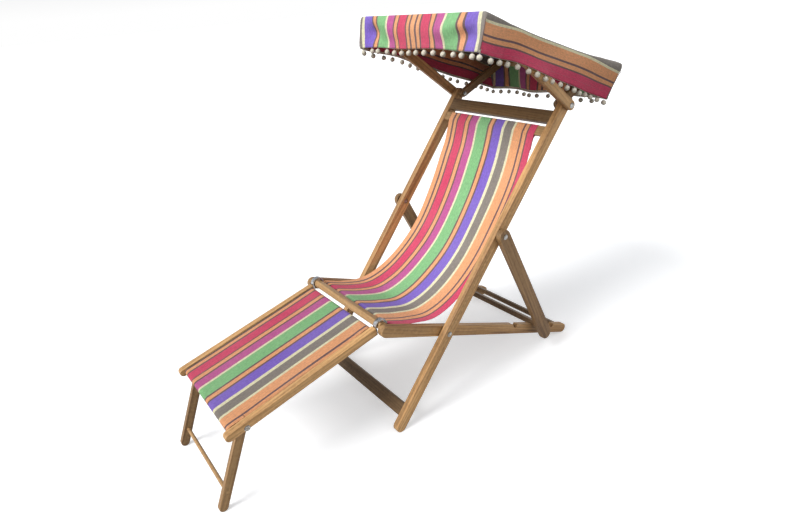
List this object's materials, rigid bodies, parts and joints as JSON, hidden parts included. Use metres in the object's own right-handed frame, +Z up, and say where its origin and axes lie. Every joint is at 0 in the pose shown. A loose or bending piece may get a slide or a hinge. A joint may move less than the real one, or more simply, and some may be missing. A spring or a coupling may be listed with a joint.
{
  "type": "folding deckchair",
  "caption": "Folding wooden sling deckchair with a notched recline prop, a hook-on footrest with folding legs, and a cloth canopy on two crossed bows.",
  "frame": {"origin": "on the floor, midway between the left and right sides and midway between the footrest's feet and the canopy's rear edge", "axes": "+Z up; the sitter faces -Y; +X is the sitter's left"},
  "size_m": [0.619, 1.6745, 1.3032],
  "materials": {
    "back_wood": "oiled teak, straight grain",
    "seat_wood": "oiled teak, straight grain",
    "prop_wood": "oiled teak, straight grain",
    "footrest_wood": "oiled teak, straight grain",
    "canopy_wood": "oiled teak, straight grain",
    "dowel_wood": "smooth turned hardwood",
    "bolt_steel": "zinc plated, dull",
    "hook_steel": "galvanised strip",
    "sling_canvas": "woven multicolour lengthwise stripes",
    "footrest_canvas": "woven multicolour lengthwise stripes",
    "canopy_canvas": "woven multicolour stripes with a bobble fringe"
  },
  "bodies": {
    "back_frame": {"back_rail_left": "back_wood", "back_rail_right": "back_wood", "back_foot_board": "back_wood", "back_top_board": "back_wood", "sling_top_bar": "back_wood", "seat_bolt_left": "bolt_steel", "seat_bolt_right": "bolt_steel", "seat_nut_left": "bolt_steel", "seat_nut_right": "bolt_steel", "seat_spacer_left": "bolt_steel", "seat_spacer_right": "bolt_steel", "prop_bolt_left": "bolt_steel", "prop_bolt_right": "bolt_steel", "prop_nut_left": "bolt_steel", "prop_nut_right": "bolt_steel", "prop_spacer_left": "bolt_steel", "prop_spacer_right": "bolt_steel", "canopy_bolt_left": "bolt_steel", "canopy_bolt_right": "bolt_steel", "canopy_nut_left": "bolt_steel", "canopy_nut_right": "bolt_steel", "sling_fabric": "sling_canvas"},
    "seat_frame": {"seat_rail_left": "seat_wood", "seat_rail_right": "seat_wood", "seat_front_bar": "seat_wood", "sling_front_dowel": "dowel_wood", "seat_rear_rail": "seat_wood"},
    "prop_frame": {"prop_leg_left": "prop_wood", "prop_leg_right": "prop_wood", "prop_cross_bar": "prop_wood"},
    "footrest": {"footrest_rail_left": "footrest_wood", "footrest_rail_right": "footrest_wood", "footrest_dowel_front": "dowel_wood", "footrest_dowel_rear": "dowel_wood", "footrest_hook_left": "hook_steel", "footrest_hook_right": "hook_steel", "leg_bolt_left": "bolt_steel", "leg_bolt_right": "bolt_steel", "leg_nut_left": "bolt_steel", "leg_nut_right": "bolt_steel", "footrest_fabric": "footrest_canvas"},
    "footrest_legs": {"footrest_leg_left": "footrest_wood", "footrest_leg_right": "footrest_wood", "footrest_leg_dowel": "dowel_wood"},
    "canopy_rear_bow": {"canopy_rear_arm_left": "canopy_wood", "canopy_rear_arm_right": "canopy_wood", "canopy_rear_bar": "canopy_wood", "canopy_fabric": "canopy_canvas"},
    "canopy_front_bow": {"canopy_front_arm_left": "canopy_wood", "canopy_front_arm_right": "canopy_wood", "canopy_front_bar": "canopy_wood"}
  },
  "joints": [
    {"name": "seat_fold", "type": "hinge", "parent": "back_frame", "child": "seat_frame", "pos_m": [0, 0.02582, 0.29861], "axis": [1, 0, 0], "range_deg": [0, 64], "deforming": ["sling_fabric"]},
    {"name": "prop_swing", "type": "hinge", "parent": "back_frame", "child": "prop_frame", "pos_m": [0, 0.27329, 0.59353], "axis": [1, 0, 0], "range_deg": [0, 106]},
    {"name": "footrest_hinge", "type": "hinge", "parent": "seat_frame", "child": "footrest", "pos_m": [0, -0.20703, 0.40783], "axis": [1, 0, 0], "range_deg": [-89, 0]},
    {"name": "footrest_leg_fold", "type": "hinge", "parent": "footrest", "child": "footrest_legs", "pos_m": [0, -0.70246, 0.27726], "axis": [1, 0, 0], "range_deg": [0, 100]},
    {"name": "canopy_tilt", "type": "hinge", "parent": "back_frame", "child": "canopy_rear_bow", "pos_m": [0, 0.59597, 0.97809], "axis": [1, 0, 0], "range_deg": [-10, 35]},
    {"name": "canopy_fold", "type": "hinge", "parent": "canopy_rear_bow", "child": "canopy_front_bow", "pos_m": [0, 0.59597, 0.97809], "axis": [1, 0, 0], "range_deg": [-60, 0], "deforming": ["canopy_fabric"]}
  ],
  "couplings": [
    {"joint": "prop_swing", "follows": "seat_fold", "ratio": 1.65},
    {"joint": "footrest_hinge", "follows": "seat_fold", "ratio": -1.38}
  ]
}
